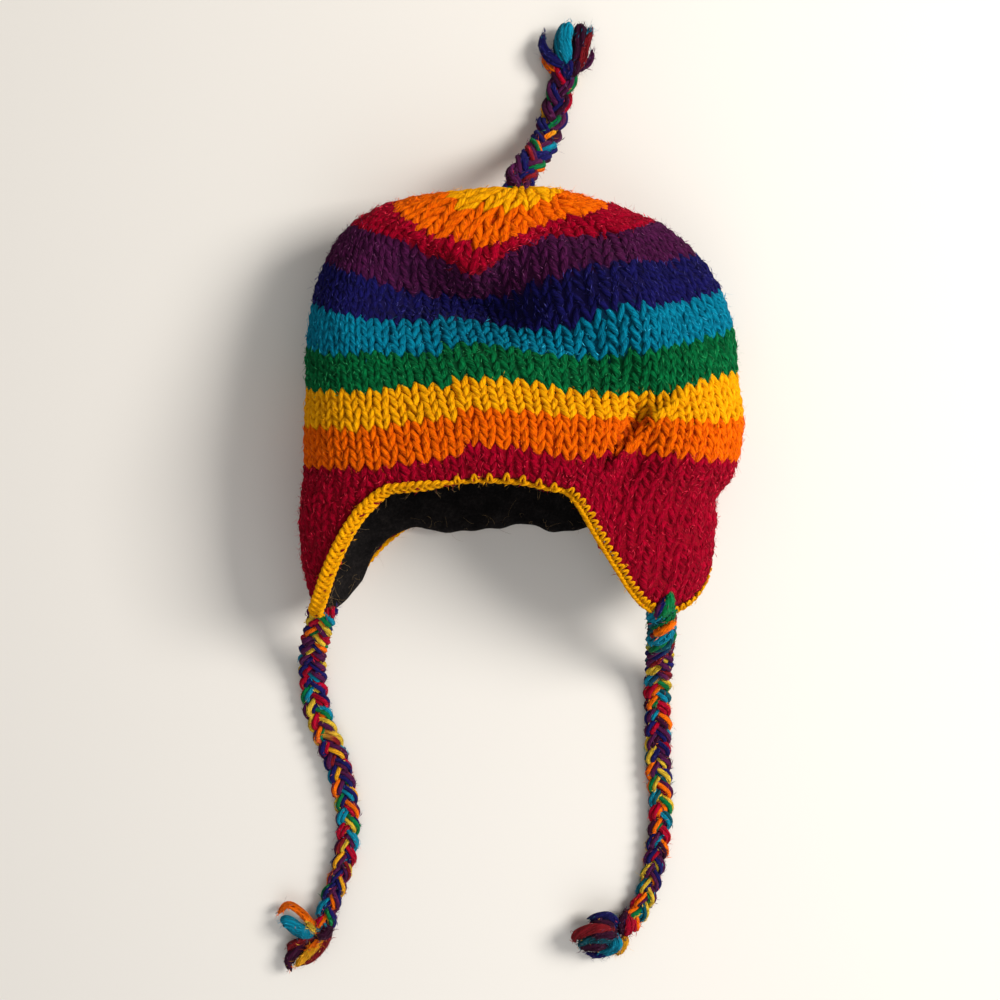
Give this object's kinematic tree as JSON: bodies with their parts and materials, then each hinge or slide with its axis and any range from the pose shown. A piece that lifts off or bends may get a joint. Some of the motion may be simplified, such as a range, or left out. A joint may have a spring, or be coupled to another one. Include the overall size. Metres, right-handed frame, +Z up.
{
  "type": "knitted chullo hat",
  "caption": "Rainbow-striped hand-knitted wool hat with earflaps, fleece lining, crocheted edge, braided ties with tassels and a braided topknot, lying flat.",
  "frame": {"origin": "middle of the flattened patch of the lower side that the hat rests on", "axes": "+X across the hat to the right as it is seen in the picture, +Y from the mouth towards the crown, +Z up from the surface that it lies on"},
  "size_m": [0.2623, 0.542, 0.0886],
  "materials": {
    "striped_wool": "hand-knitted chunky wool in stripes of red, orange, yellow, green, turquoise, navy and purple",
    "black_fleece": "brushed black fleece",
    "yellow_wool": "crocheted yellow wool",
    "mixed_wool": "braided and loose wool yarns in the colours of the stripes"
  },
  "bodies": {
    "root": {"knit_body": "striped_wool", "fleece_lining": "black_fleece", "crochet_edging": "yellow_wool", "left_tie_braid": "mixed_wool", "right_tie_braid": "mixed_wool", "top_braid": "mixed_wool", "left_tie_tassel": "mixed_wool", "right_tie_tassel": "mixed_wool", "top_tassel": "mixed_wool", "right_tie_anchor": "mixed_wool"}
  },
  "joints": []
}
